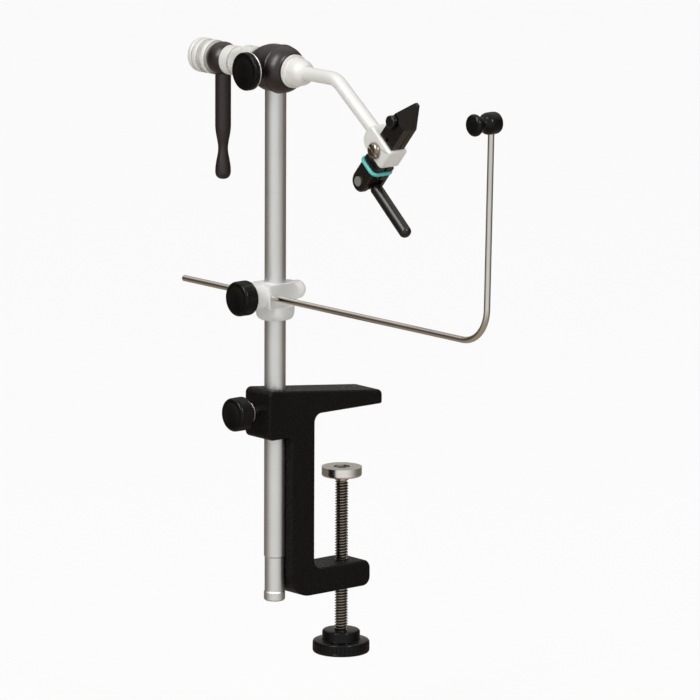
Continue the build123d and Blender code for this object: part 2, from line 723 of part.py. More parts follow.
pieces = {
    "clamp_frame": clamp_frame(),
    "clamp_screw": clamp_screw(),
    "clamp_pad": clamp_pad(),
    "pad_retainer": pad_retainer(),
    "clamp_knob": clamp_knob(),
    "clamp_knob_pin": clamp_knob_pin(),
    "stem": stem(),
    "stem_lock_knob": stem_lock_knob(),
    "stem_lock_screw": stem_lock_screw(),
    "cradle_collar": cradle_collar(),
    "cradle_lock_knob": cradle_lock_knob(),
    "cradle_lock_screw": cradle_lock_screw(),
    "cradle_tension_plug": cradle_tension_plug(),
    "cradle_rod": cradle_rod(),
    "cradle_spool": cradle_spool(),
    "spool_grub_screw": spool_grub_screw(),
    "head_housing": head_housing(),
    "housing_set_screw": housing_set_screw(),
    "front_bushing": bushing(1),
    "rear_bushing": bushing(-1),
    "drag_plug": drag_plug(),
    "drag_knob": drag_knob(),
    "drag_screw": drag_screw(),
    "rotary_shaft": rotary_shaft(),
    "thrust_washer": thrust_washer(),
    "rotary_hub": rotary_hub(),
    "rotary_arm": rotary_arm(),
    "rear_ring": rear_ring(),
    "drag_collar": drag_collar(),
    "crank_ball": crank_ball(),
    "crank_handle": crank_handle(),
    "crank_grub_screw": crank_grub_screw(),
    "end_knob": end_knob(),
    "jaw_block": jaw_block(),
    "jaw_clamp_bolt": jaw_clamp_bolt(),
    "near_jaw": near_jaw(),
    "far_jaw": far_jaw(),
    "jaw_adjusting_screw": jaw_adjusting_screw(),
    "jaw_o_ring": jaw_o_ring(),
    "cam_pin": cam_pin(),
    "cam_hub": cam_hub(),
    "lever_rod": lever_rod(),
}
for name, shape in pieces.items():
    export_step(shape, f"parts/{name}.step")
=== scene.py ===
# %% [markdown]
# # A rotary fly tying vise
# A fly tying vise holds a fishing hook while thread and feathers are wound on it. This one stands on a table
# clamp. A steel stem rises from the clamp, a bent rod on the stem parks the thread, and a head on top turns
# the jaws by a crank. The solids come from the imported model, in metres. Here each of them gets a finish, and
# the pieces whose detail is finer than the solids, such as the screw thread, are modelled again and take the
# place of theirs. Their lengths are written in millimetres. Two of them come back often: where the stem
# stands and how high the rotary axis is.

# %% Load the frame
import bpy
import math
from mathutils import Matrix, Vector


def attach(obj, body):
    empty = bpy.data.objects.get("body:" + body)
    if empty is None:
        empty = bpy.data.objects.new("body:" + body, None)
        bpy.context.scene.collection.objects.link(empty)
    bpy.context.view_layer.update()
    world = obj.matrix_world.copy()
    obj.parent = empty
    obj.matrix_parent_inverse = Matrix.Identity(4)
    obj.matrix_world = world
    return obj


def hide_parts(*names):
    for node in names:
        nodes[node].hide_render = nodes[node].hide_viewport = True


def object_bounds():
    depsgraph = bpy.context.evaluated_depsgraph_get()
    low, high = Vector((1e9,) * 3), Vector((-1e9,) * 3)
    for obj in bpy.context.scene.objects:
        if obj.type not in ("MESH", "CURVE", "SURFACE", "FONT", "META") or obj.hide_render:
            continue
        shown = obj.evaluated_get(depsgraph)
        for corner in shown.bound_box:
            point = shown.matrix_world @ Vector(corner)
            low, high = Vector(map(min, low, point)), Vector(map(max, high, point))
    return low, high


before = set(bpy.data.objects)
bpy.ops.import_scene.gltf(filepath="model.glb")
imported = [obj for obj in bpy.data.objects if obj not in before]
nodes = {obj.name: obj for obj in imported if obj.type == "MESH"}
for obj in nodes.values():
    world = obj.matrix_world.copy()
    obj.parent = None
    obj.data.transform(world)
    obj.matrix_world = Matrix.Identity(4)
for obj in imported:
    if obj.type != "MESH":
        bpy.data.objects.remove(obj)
cad_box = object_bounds()
mm = 0.001
stem_y, rotary_z = -39.1, 156.2

# %% [markdown]
# ## The camera
# The picture was taken with a long lens from the tyer's side, a little to the right of the jaws and a little
# above them. A camera can be turned by hand until it looks right, or worked out from known points. Here it
# was worked out: the stem, the rod and the clamp screw fix its direction, and the lens follows from how
# little the far end shrinks.

# %% Camera
turn, lift, roll = math.radians(49.565), math.radians(10.948), math.radians(0.2555)
back = Vector((math.cos(lift) * math.sin(turn), -math.cos(lift) * math.cos(turn), math.sin(lift)))
level = Vector((math.cos(turn), math.sin(turn), 0))
raised = back.cross(level)
across = level * math.cos(roll) + raised * math.sin(roll)
upward = raised * math.cos(roll) - level * math.sin(roll)
aim_height, aim_right, distance = 0.030, 0.033215, 3.0525
spot = Vector((0, stem_y * mm, aim_height)) + level * aim_right + back * distance

bpy.ops.object.select_all(action="DESELECT")
bpy.ops.object.camera_add(location=spot)
camera = bpy.context.object
camera.rotation_mode = "QUATERNION"
camera.rotation_quaternion = Matrix((across, upward, back)).transposed().to_quaternion()
sensor, focal_pixels, picture_pixels = 36, 6887.8, 700
camera.data.sensor_width = sensor
camera.data.lens = sensor * focal_pixels / picture_pixels
camera.data.clip_start, camera.data.clip_end = 0.05, 40
bpy.context.scene.camera = camera
print("lens", round(camera.data.lens, 1), "mm at", [round(x, 3) for x in spot])

# %% [markdown]
# ## Shader maths
# A finish on metal or plastic is mostly small change: a little noise in the colour, in the roughness and in
# the height. Such maths can be drawn as a web of nodes, but it is easier to read as sums. The class below
# wraps one output of a node. Adding or multiplying two of them puts a Math node between them, and one method
# adds every other kind of node.

# %% Flow, one output of a node
class Flow:
    """One output of a shader node. Sums of flows add Math nodes to the tree."""

    def __init__(self, tree, output=None):
        self.tree = tree
        self.output = output

    def add(self, kind, settings=None, inputs=None, output=0):
        """A new node: its settings first, then the values or links of its sockets. Gives one output."""
        node = self.tree.nodes.new(kind)
        for name, value in (settings or {}).items():
            if name == "stops":
                ramp = node.color_ramp.elements
                while len(ramp) < len(value):
                    ramp.new(0.5)
                for element, (place, colour) in zip(ramp, value):
                    element.position, element.color = place, (*colour, 1)
            else:
                setattr(node, name, value)
        for name, value in (inputs or {}).items():
            if isinstance(value, Flow):
                self.tree.links.new(value.output, node.inputs[name])
            else:
                node.inputs[name].default_value = value
        return Flow(self.tree, node.outputs[output])

    def maths(self, operation, first, second):
        return self.add("ShaderNodeMath", {"operation": operation}, {0: first, 1: second})

    def __add__(self, other):
        return self.maths("ADD", self, other)

    def __mul__(self, other):
        return self.maths("MULTIPLY", self, other)

    def __sub__(self, other):
        return self.maths("SUBTRACT", self, other)

    def __rsub__(self, other):
        return self.maths("SUBTRACT", other, self)

    def between(self, low, high):
        """0 below low, 1 above high and a straight slope between."""
        limits = {"Value": self, "From Min": low, "From Max": high}
        return self.add("ShaderNodeMapRange", {"clamp": True}, limits)

    def rise(self):
        """The Z of a place or of a direction."""
        return self.add("ShaderNodeSeparateXYZ", {}, {"Vector": self}, output="Z")

    def tint(self, dark, light):
        """A colour from dark at 0 to light at 1."""
        mix = self.add("ShaderNodeMix", {"data_type": "RGBA"}, {"Factor": self}, output=2)
        mix.output.node.inputs[6].default_value = (*dark, 1)
        mix.output.node.inputs[7].default_value = (*light, 1)
        return mix

    def grain(self, size, detail=2.0, stretch=(1, 1, 1)):
        """Noise from this place, with spots of about a size in metres, drawn out along the axes by stretch."""
        scale = tuple(1 / (size * s) for s in stretch)
        place = self.add("ShaderNodeMapping", {}, {"Vector": self, "Scale": scale}, output="Vector")
        noise = {"Vector": place, "Scale": 1.0, "Detail": detail}
        return self.add("ShaderNodeTexNoise", {}, noise, output="Fac")


def finish(name, colour, roughness, metallic=0.0, **constants):
    """A new material with its plain values set. Gives the material, its shader and the place on the object."""
    material = bpy.data.materials.new(name)
    material.use_nodes = True
    shader = material.node_tree.nodes["Principled BSDF"]
    plain = {"Base Color": (*colour, 1), "Roughness": roughness, "Metallic": metallic, **constants}
    for socket, value in plain.items():
        shader.inputs[socket].default_value = value
    place = Flow(material.node_tree).add("ShaderNodeTexCoord", output="Object")
    return material, shader, place


def feed(shader, **flows):
    """Links flows to the shader's sockets, named with _ for a space."""
    for name, flow in flows.items():
        flow.tree.links.new(flow.output, shader.inputs[name.replace("_", " ")])


def relief(height, depth, strength=1.0):
    """A Bump node: height from 0 to 1 over a depth in metres."""
    return height.add("ShaderNodeBump", {}, {"Strength": strength, "Distance": depth, "Height": height})


def off_axis(place, across, centre=(0, 0, 0)):
    """The distance from an axis through a centre. Across is 1 for directions across the axis and 0 along it."""
    vector = "ShaderNodeVectorMath"
    beside = place.add(vector, {"operation": "SUBTRACT"}, {0: place, 1: centre}, output="Vector")
    spoke = place.add(vector, {"operation": "MULTIPLY"}, {0: beside, 1: across}, output="Vector")
    return place.add(vector, {"operation": "LENGTH"}, {0: spoke}, output="Value")


def rays(flow):
    """Three flows that are 1 for a ray from the camera, from a shine, or through something clear."""
    kinds = ("Camera", "Glossy", "Transmission")
    return [flow.add("ShaderNodeLightPath", output=f"Is {kind} Ray") for kind in kinds]


def dress(material, *names):
    """Gives a material to CAD nodes by name."""
    for name in names:
        nodes[name].data.materials.clear()
        nodes[name].data.materials.append(material)
    print(material.name, "on", ", ".join(names))


# %% [markdown]
# ## Light and floor
# Metal only looks like metal when it has something to mirror. A small shop setup does this with a white sweep
# behind the object, a tall soft box that leans over it from the left, a smaller one on the right, and grey
# flags beside them. The flags draw the darker edges along the round bars. The floor is plain and pale, and
# low enough for the clamp screw when it is let down. To the camera and to metal most of it is clear, so that
# they see the white world through it, and the part that stays keeps the shadow.

# %% World
bpy.context.scene.view_settings.view_transform = "Standard"
front = Vector((back.x, back.y, 0)).normalized()
flags = [
    (0.00, (0.44, 0.42, 0.39)),
    (0.05, (0.20, 0.18, 0.15)),
    (0.13, (0.10, 0.08, 0.058)),
    (0.42, (0.09, 0.07, 0.05)),
    (0.58, (0.20, 0.185, 0.16)),
    (0.76, (0.50, 0.51, 0.51)),
    (0.93, (0.82, 0.83, 0.84)),
]
ceiling, ground = (0.92, 0.91, 0.88, 1), (0.36, 0.28, 0.20, 1)


def towards_camera(way):
    """1 for a direction towards the camera, 0 for one away from it."""
    facing = way.add("ShaderNodeVectorMath", {"operation": "DOT_PRODUCT"}, {0: way, 1: front}, output="Value")
    return facing * 0.5 + 0.5


def studio(way):
    """What metal sees: bright in front and overhead, dim beside, half bright behind and warm below."""
    around = way.add("ShaderNodeValToRGB", {"stops": flags}, {"Fac": towards_camera(way)}, output="Color")
    height = way.rise()
    for share, colour in ((height.between(0.35, 0.75), ceiling), (height.between(-0.2, -0.7), ground)):
        around = way.add("ShaderNodeMix", {"data_type": "RGBA"}, {0: share, 6: around, 7: colour}, output=2)
    return around


world = bpy.data.worlds.new("studio")
bpy.context.scene.world = world
world.use_nodes = True
sky = Flow(world.node_tree)
way = sky.add("ShaderNodeTexCoord", output="Generated")
mirrored = studio(way)
from_camera, from_shine, through = rays(sky)
dim = 0.56 - towards_camera(way) * 0.40
soft = sky.add("ShaderNodeBackground", {}, {"Color": (1.0, 0.99, 0.97, 1), "Strength": dim})
room = sky.add("ShaderNodeBackground", {}, {"Color": mirrored, "Strength": 1.0})
white = sky.add("ShaderNodeBackground", {}, {"Color": (1, 1, 1, 1), "Strength": 1.0})
seen = sky.add("ShaderNodeMixShader", {}, {0: from_shine + through, 1: soft, 2: room})
seen = sky.add("ShaderNodeMixShader", {}, {0: from_camera, 1: seen, 2: white})
world.node_tree.links.new(seen.output, world.node_tree.nodes["World Output"].inputs["Surface"])
print("world", world.name)

# %% Soft boxes
target = Vector((0.04, -0.04, 0.03))


def soft_box(name, direction, distance, width, height, power):
    """An area lamp at a distance in one direction, facing the object."""
    bpy.ops.object.light_add(type="AREA", location=target + direction.normalized() * distance)
    lamp = bpy.context.object
    lamp.name = name
    lamp.rotation_euler = direction.to_track_quat("Z", "Y").to_euler()
    lamp.data.shape = "RECTANGLE"
    lamp.data.size, lamp.data.size_y, lamp.data.energy = width, height, power
    print(name, power, "W")


overhead = Vector((0, 0, 0.8))
soft_box("left_box", front * 0.55 - level * 0.5 + overhead, distance=1.7, width=0.5, height=1.4, power=16.5)
soft_box("right_box", front * 0.8 + level * 0.7 + overhead, distance=1.8, width=0.2, height=0.5, power=8.0)

# %% Floor
bpy.ops.object.select_all(action="DESELECT")
floor_size, screw_drop = 50, 0.038
bpy.ops.mesh.primitive_plane_add(size=floor_size, location=(0, 0, cad_box[0].z - screw_drop))
floor = bpy.context.object
floor.name = "floor"
pale, shader, place = finish("pale_floor", (0.8, 0.8, 0.79), 0.8)
feed(shader, Base_Color=place.grain(0.4).tint((0.79, 0.79, 0.78), (0.81, 0.81, 0.80)))
from_camera, from_shine, through = rays(place)
camera_share, shine_share = 0.93, 0.9
share = from_camera * camera_share + (from_shine + through) * shine_share
clear = place.add("ShaderNodeBsdfTransparent")
seen = place.add("ShaderNodeMixShader", {}, {0: share, 1: Flow(pale.node_tree, shader.outputs[0]), 2: clear})
pale.node_tree.links.new(seen.output, pale.node_tree.nodes["Material Output"].inputs["Surface"])
floor.data.materials.append(pale)
print("floor at", round(floor.location.z, 4))

# %% [markdown]
# ## Black casting
# The clamp is sand cast and painted satin black. A casting keeps a little of the sand's grain under its
# paint, so the surface breaks up the light. Two sizes of noise do this in the height: a broad roll and a fine
# tooth.

# %% Clamp frame finish
casting, shader, place = finish("black_casting", (0.004, 0.0036, 0.003), 0.5, **{"Specular IOR Level": 0.16})
roll_of_skin = place.grain(0.004, 2)
tooth = place.grain(0.0011, 3)
pits = tooth.between(0.40, 0.62)
paint = (roll_of_skin * 0.4 + pits * 0.6).tint((0.0015, 0.0013, 0.0011), (0.007, 0.006, 0.005))
skin_height = pits * 0.7 + roll_of_skin * 0.3
feed(shader, Base_Color=paint, Roughness=pits * 0.2 + 0.36, Normal=relief(skin_height, 0.00022))
dress(casting, "clamp_frame")

# %% [markdown]
# ## Moulded black
# The knobs are moulded. Their skin is even, with a very fine spark grain and a faint shine where fingers
# polish it.

# %% Knob finish
moulded, shader, place = finish("knob_black", (0.004, 0.004, 0.004), 0.36, **{"Specular IOR Level": 0.2})
spark = place.grain(0.00028, 2)
wear = place.grain(0.006, 3)
feed(shader, Base_Color=wear.tint((0.002, 0.002, 0.002), (0.005, 0.0048, 0.0045)),
     Roughness=wear * 0.14 + 0.13, Normal=relief(spark, 0.000004))
dress(moulded, "stem_lock_knob", "cradle_lock_knob", "drag_knob", "clamp_knob")

# %% [markdown]
# ## Satin steel
# The stem is a drawn bar polished with a belt while it turned, so fine lines run round it. Noise that is
# squeezed along the bar and drawn out round it gives those lines. They go into the roughness and a very
# shallow height. The pad of the clamp was faced on a lathe, and its lines follow the distance from the axis
# of the screw.

# %% Stem finish
satin, shader, place = finish("stem_silver", (0.80, 0.81, 0.80), 0.4, 1.0)
rings = place.grain(0.0022, 4, (3, 3, 0.06))
cloud = place.grain(0.02, 2)
feed(shader, Base_Color=(rings * 0.6 + cloud * 0.4).tint((0.72, 0.72, 0.70), (0.88, 0.89, 0.88)),
     Roughness=rings * 0.16 + 0.34, Normal=relief(rings, 0.00001, 0.6))
dress(satin, "stem", "cam_pin")

# %% Pad finish
bright, shader, place = finish("pad_bright", (0.90, 0.88, 0.84), 0.26, 1.0)
lathe_place = place.add("ShaderNodeCombineXYZ", {}, {"X": off_axis(place, (1, 1, 0)), "Y": place.rise()})
tool = lathe_place.grain(0.00025, 3)
feed(shader, Base_Color=tool.tint((0.82, 0.80, 0.76), (0.97, 0.95, 0.91)), Roughness=tool * 0.14 + 0.19,
     Normal=relief(tool, 0.00002, 0.7))
dress(bright, "clamp_pad")

# %% [markdown]
# ## Blasted and frosted aluminium
# The collar was blasted with glass beads, which leaves a bright skin with a fine even grain. The turned
# pieces of the head were blasted finer and anodised clear, and look nearly white. Both skins mostly scatter
# the light and mirror little of it, so their Metallic is low.

# %% Collar finish
blasted, shader, place = finish("collar_silver", (0.88, 0.88, 0.865), 0.42, 0.12)
beads = place.grain(0.00035, 3)
cloud = place.grain(0.008, 2)
feed(shader, Base_Color=(beads * 0.5 + cloud * 0.5).tint((0.82, 0.82, 0.80), (0.93, 0.93, 0.915)),
     Roughness=beads * 0.16 + 0.34, Normal=relief(beads, 0.00003, 0.6))
dress(blasted, "cradle_collar")

# %% Head finish
frosted, shader, place = finish("frosted_silver", (0.87, 0.855, 0.82), 0.42, 0.2)
frost = place.grain(0.00022, 3)
cloud = place.grain(0.007, 2)
feed(shader, Base_Color=(frost * 0.4 + cloud * 0.6).tint((0.81, 0.795, 0.755), (0.91, 0.90, 0.87)),
     Roughness=frost * 0.14 + 0.46, Normal=relief(frost, 0.000025, 0.6))
dress(frosted, "rotary_hub", "rotary_arm", "rear_ring", "drag_collar", "end_knob", "jaw_block")

# %% [markdown]
# ## Painted shade in knurls
# The low spots of a knurl are painted grey as shade, and the high spots stay bright. As on a thread, the
# distance from the axis tells them apart, so one function makes the finish for each ring from the radii of its
# low and high spots.

# %% Ring finishes
def ring_finish(name, low, root, crest):
    """The frosted finish with painted shade, grey from the radius low to root and bright again at the crest, in
    metres.
    """
    material, shader, place = finish(f"frosted_silver.{name}", (0.85, 0.835, 0.80), 0.42, 0.2)
    radius = off_axis(place, (0, 1, 1), (0, stem_y * mm, rotary_z * mm))
    # Painted shade: the knurl grooves between radius low and root are coloured grey.
    knurl_groove_shade = radius.between(low, low + 0.0001) * (1 - radius.between(root, crest))
    frost = place.grain(0.00022, 3)
    feed(shader, Base_Color=(frost * 0.2 + knurl_groove_shade * 0.8).tint((0.93, 0.915, 0.88), (0.46, 0.45, 0.42)),
         Roughness=frost * 0.14 + 0.42)
    print(material.name, "made")
    return material


collar_frost = ring_finish("collar", 0.0060, 0.00632, 0.00664)
ring_frost = ring_finish("ring", 0.0076, 0.00778, 0.00804)
end_frost = ring_finish("end", 0.0070, 0.00728, 0.00770)

# %% [markdown]
# ## Dark anodised head
# The housing, the crank ball and its handle are aluminium dyed nearly black. The dye leaves a plum tone in
# the light. Its sheen is satin, with a fine even grain in it.

# %% Housing finish
plum, shader, place = finish("plum_black", (0.014, 0.009, 0.0095), 0.3, 0.0, **{"Specular IOR Level": 0.62})
dye = place.grain(0.01, 3)
skin = place.grain(0.0003, 2)
feed(shader, Base_Color=dye.tint((0.012, 0.0056, 0.006), (0.020, 0.0105, 0.011)), Roughness=skin * 0.1 + 0.27,
     Normal=relief(skin, 0.000006, 0.5))
dress(plum, "head_housing", "crank_ball", "crank_handle")

# %% [markdown]
# ## Black oxide, polished steel and dark screws
# Hardened jaws are blackened in a hot salt bath and oiled. The coat is thin, so the steel's own shine shows
# through on corners. The rod is drawn and polished along its length, and the screws keep a dark oiled skin.

# %% Jaw finish
oxide, shader, place = finish("jaw_black", (0.006, 0.005, 0.004), 0.2, 0.0, **{"Specular IOR Level": 0.5})
salt = place.grain(0.0025, 4)
grind = place.grain(0.0006, 3, (1, 4, 1))
feed(shader, Base_Color=salt.tint((0.003, 0.0025, 0.002), (0.010, 0.008, 0.006)), Roughness=grind * 0.1 + 0.21,
     Normal=relief(grind, 0.000006, 0.6))
dress(oxide, "near_jaw", "far_jaw", "cam_hub", "lever_rod", "jaw_adjusting_screw")

# %% Rod and bright steel finish
polished, shader, place = finish("rod_polished", (0.72, 0.69, 0.64), 0.1, 1.0)
draw = place.grain(0.0009, 3, (12, 1, 12))
feed(shader, Base_Color=draw.tint((0.63, 0.60, 0.55), (0.80, 0.77, 0.715)), Roughness=draw * 0.1 + 0.05,
     Normal=relief(draw, 0.000006, 0.5))
dress(polished, "cradle_rod", "rotary_shaft")

# %% Dark screw finish
oiled, shader, place = finish("screw_dark", (0.26, 0.235, 0.20), 0.2, 1.0)
oil = place.grain(0.003, 4)
feed(shader, Base_Color=oil.tint((0.20, 0.175, 0.14), (0.40, 0.365, 0.31)), Roughness=oil * 0.16 + 0.14,
     Normal=relief(place.grain(0.0004, 2), 0.00001, 0.5))
dress(oiled, "jaw_clamp_bolt", "clamp_screw", "stem_lock_screw", "cradle_lock_screw", "drag_screw",
      "clamp_knob_pin", "pad_retainer", "spool_grub_screw", "crank_grub_screw", "housing_set_screw")

# %% [markdown]
# ## Painted shade and oil in a thread
# The clamp screw is used the most. Its crests rub bright in the clamp, and its grooves are darkened with painted
# shade and old oil. How far a spot is from the axis of the screw tells the two apart, so the finish needs no
# mask painted in an image.

# %% Thread finish
threaded, shader, place = finish("screw_dark.thread", (0.3, 0.27, 0.23), 0.25, 1.0)
# Painted shade: the roots of the thread are coloured nearly black, partly as old oil; the crests are rubbed
# bright.
rubbed_crests_shaded_roots = off_axis(place, (1, 1, 0)).between(0.00240, 0.00296)
smear = place.grain(0.002, 3)
feed(shader, Base_Color=(rubbed_crests_shaded_roots * 0.85 + smear * 0.15).tint((0.035, 0.029, 0.022), (0.62, 0.575, 0.50)),
     Roughness=smear * 0.1 + 0.36 - rubbed_crests_shaded_roots * 0.2)

# %% [markdown]
# ## Nylon, bronze, rubber and gloss plastic
# The small pieces that rub are soft: a white nylon plug brakes the collar, bronze bushes carry the shaft, and
# a teal rubber ring pulls the jaws open. The thread rest on the end of the rod is glossy so that thread
# slides over it.

# %% Nylon finish
nylon, shader, place = finish("nylon_white", (0.96, 0.955, 0.93), 0.4)
milk = place.grain(0.002, 3)
feed(shader, Base_Color=milk.tint((0.945, 0.94, 0.91), (0.975, 0.97, 0.955)), Roughness=milk * 0.15 + 0.33)
dress(nylon, "cradle_tension_plug", "drag_plug", "thrust_washer")

# %% Bronze finish
bronze, shader, place = finish("bushing_bronze", (0.55, 0.40, 0.20), 0.4, 1.0)
pores = place.grain(0.0003, 4)
feed(shader, Base_Color=pores.tint((0.40, 0.28, 0.13), (0.64, 0.47, 0.25)), Roughness=pores * 0.3 + 0.28,
     Normal=relief(pores, 0.00002))
dress(bronze, "front_bushing", "rear_bushing")

# %% Rubber finish
rubber, shader, place = finish("ring_teal", (0.10, 0.56, 0.52), 0.26)
bloom = place.grain(0.0012, 3)
feed(shader, Base_Color=bloom.tint((0.08, 0.50, 0.46), (0.14, 0.62, 0.58)), Roughness=bloom * 0.14 + 0.20,
     Normal=relief(place.grain(0.0003, 2), 0.00001))
dress(rubber, "jaw_o_ring")

# %% Gloss plastic finish
gloss, shader, place = finish("spool_black", (0.004, 0.004, 0.004), 0.2, **{"Specular IOR Level": 0.2})
haze = place.grain(0.004, 3)
feed(shader, Base_Color=haze.tint((0.003, 0.003, 0.003), (0.006, 0.006, 0.006)), Roughness=haze * 0.08 + 0.14)
dress(gloss, "cradle_spool")

# %% [markdown]
# ## A small lathe
# Most of the vise is turned on a lathe, and Blender has one too: the spin operator. A plane is merged to a
# single vertex, extruded from point to point along half of the section, and then spun once round its axis.
# Doubles on the seam and on the axis are merged, and the faces are turned outwards. The same few steps make
# every turned piece, so they are functions.

# %% Lathe
soft_angle, merge_distance = math.radians(35), 0.001 * mm
along_x, along_y, along_z = Vector((1, 0, 0)), Vector((0, 1, 0)), Vector((0, 0, 1))
rotary_axis = (Vector((0, stem_y, rotary_z)) * mm, along_x, along_z)
screw_axis = (Vector((0, 0, 0)), along_z, along_x)


def edit(piece):
    """Opens one piece in edit mode, with all of it selected."""
    bpy.ops.object.select_all(action="DESELECT")
    piece.select_set(True)
    bpy.context.view_layer.objects.active = piece
    bpy.ops.object.mode_set(mode="EDIT")
    bpy.ops.mesh.select_mode(type="VERT")
    bpy.ops.mesh.select_all(action="SELECT")


def close(piece):
    """Merges doubles, turns the faces outwards, leaves edit mode and shades the round faces soft."""
    bpy.ops.mesh.select_all(action="SELECT")
    bpy.ops.mesh.remove_doubles(threshold=merge_distance)
    bpy.ops.mesh.normals_make_consistent(inside=False)
    bpy.ops.object.mode_set(mode="OBJECT")
    bpy.ops.object.shade_smooth_by_angle(angle=soft_angle)
    return piece


def pick(piece, kind, test):
    """Opens one piece in edit mode, with only the edges or faces selected that pass a test."""
    edit(piece)
    bpy.ops.mesh.select_mode(type=kind)
    bpy.ops.mesh.select_all(action="DESELECT")
    bpy.ops.object.mode_set(mode="OBJECT")
    for item in piece.data.edges if kind == "EDGE" else piece.data.polygons:
        item.select = test(item)
    bpy.ops.object.mode_set(mode="EDIT")


def ends(piece, edge):
    """The two ends of an edge."""
    return [piece.data.vertices[index].co for index in edge.vertices]


def middle(piece, edge):
    """The middle of an edge, in millimetres."""
    return sum(ends(piece, edge), Vector()) / 2 / mm


def chain(name, section, axis):
    """A string of vertices through (along, radius) points in millimetres beside an axis, open in edit mode."""
    centre, along, out = axis
    spots = [centre + (along * place + out * radius) * mm for place, radius in section]
    bpy.ops.object.select_all(action="DESELECT")
    bpy.ops.mesh.primitive_plane_add(size=mm, location=spots[0])
    piece = bpy.context.object
    piece.name = name
    bpy.ops.object.transform_apply(location=True, rotation=True, scale=True)
    edit(piece)
    bpy.ops.mesh.merge(type="CENTER")
    for here, there in zip(spots, spots[1:]):
        bpy.ops.mesh.extrude_region_move(TRANSFORM_OT_translate={"value": there - here})
    bpy.ops.mesh.select_all(action="SELECT")
    return piece


def turned(name, section, axis, steps=96):
    """A piece turned round an axis from half of its section."""
    piece = chain(name, section, axis)
    bpy.ops.mesh.spin(steps=steps, angle=2 * math.pi, center=axis[0], axis=axis[1])
    return close(piece)


def quarter(place, radius, size, start):
    """Points of a quarter circle of a section, anticlockwise from start in degrees, round (place, radius)."""
    turns = [math.radians(start + 18 * step) for step in range(6)]
    return [(place + size * math.cos(turn), radius + size * math.sin(turn)) for turn in turns]


def joined(*pieces):
    """Several pieces as one mesh, under the first one's name."""
    bpy.ops.object.select_all(action="DESELECT")
    for piece in pieces:
        piece.select_set(True)
    bpy.context.view_layer.objects.active = pieces[0]
    bpy.ops.object.join()
    return pieces[0]


def shaped(piece, kind, **settings):
    """Puts a modifier with its settings on a piece and applies it."""
    bpy.context.view_layer.objects.active = piece
    bpy.ops.object.modifier_add(type=kind)
    modifier = piece.modifiers[-1]
    for name, value in settings.items():
        setattr(modifier, name, value)
    bpy.ops.object.modifier_apply(modifier=modifier.name)


def cut(piece, tool):
    """Takes a tool's volume out of a piece and throws the tool away."""
    shaped(piece, "BOOLEAN", object=tool, operation="DIFFERENCE")
    bpy.data.objects.remove(tool)


def fit(piece, material, body, *replaced):
    """Gives a finished piece its material, its body and the CAD nodes that it stands for."""
    piece.data.materials.clear()
    piece.data.materials.append(material)
    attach(piece, body)
    if replaced:
        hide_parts(*replaced)
    print(piece.name, len(piece.data.polygons), "faces on", body)


# %% [markdown]
# ## The clamp screw
# The clamp screw carries 20 threads to the inch. A thread could be a bump in the shader, but its outline
# against the light gives it away, so it is modelled. One tooth of the thread is a short chain of vertices.
# The Screw modifier turns it round the axis and lifts it by one pitch each turn. A turned core with the
# smooth neck and the tip is joined to it.

# %% Threaded clamp screw
pitch, root, crest = 1.27, 2.3, 3.0
thread_foot, thread_turns = -111.4, 60
tooth_shape = [(0, root), (0.16, root), (0.58, crest), (0.74, crest), (1.16, root), (pitch, root)]
first_tooth = [(thread_foot + place, radius) for place, radius in tooth_shape]
thread = chain("threaded_clamp_screw", first_tooth, screw_axis)
bpy.ops.object.mode_set(mode="OBJECT")
shaped(thread, "SCREW", screw_offset=pitch * mm, iterations=thread_turns, steps=24, render_steps=24)
edit(thread)
close(thread)
edit(thread)
bpy.ops.mesh.fill_holes(sides=0)
bpy.ops.object.mode_set(mode="OBJECT")
neck = [(-112.0, 0), (-112.0, 2.25), (-34.4, 2.25), (-34.2, 2.9), (-33.9, crest), (-32.6, crest),
        (-32.35, 2.75), (-32.35, 2.0), (-28.6, 2.0), (-28.35, 1.75), (-28.35, 0)]
screw = joined(thread, turned("screw_core", neck, screw_axis, 48))
fit(screw, threaded, "screw", "clamp_screw")

# %% [markdown]
# ## Knurled rings
# The drag collar and the ring behind the head are knurled: a wheel pressed a net of small diamonds into the
# turning metal. Poking the faces of a plain band gives every face a middle vertex. With the old edges
# dissolved, only diamonds are left, and a second poke lifts the middle of each one to a point. The band gets
# an inner wall, so that it is closed, and sits in a groove of the turned ring.

# %% Knurl
def knurled(name, low, high, radius, depth, axis, around, rows):
    """A band of diamonds from low to high along an axis, whose points reach the given radius."""
    lines = [low + (high - low) * row / rows for row in range(rows + 1)]
    band = turned(name, [(line, radius - depth) for line in lines], axis, around)
    edit(band)
    bpy.ops.mesh.poke()
    bpy.ops.object.mode_set(mode="OBJECT")

    def old(edge):
        first, second = ends(band, edge)
        lean = abs((second - first).normalized().dot(axis[1]))
        place = (middle(band, edge) - axis[0] / mm).dot(axis[1])
        return lean > 0.99 or (lean < 0.01 and low + 0.1 < place < high - 0.1)

    pick(band, "EDGE", old)
    bpy.ops.mesh.dissolve_edges(use_verts=False)
    bpy.ops.mesh.select_mode(type="FACE")
    bpy.ops.mesh.select_all(action="SELECT")
    bpy.ops.mesh.poke(offset=depth * mm)
    wall = 0.1
    shrink = 1 - wall / (radius - depth)
    bpy.ops.mesh.select_mode(type="EDGE")
    bpy.ops.mesh.select_all(action="DESELECT")
    bpy.ops.mesh.select_non_manifold()
    bpy.ops.mesh.extrude_region_move()
    bpy.ops.transform.resize(value=(1, shrink, shrink), center_override=axis[0])
    bpy.ops.mesh.bridge_edge_loops()
    return close(band)


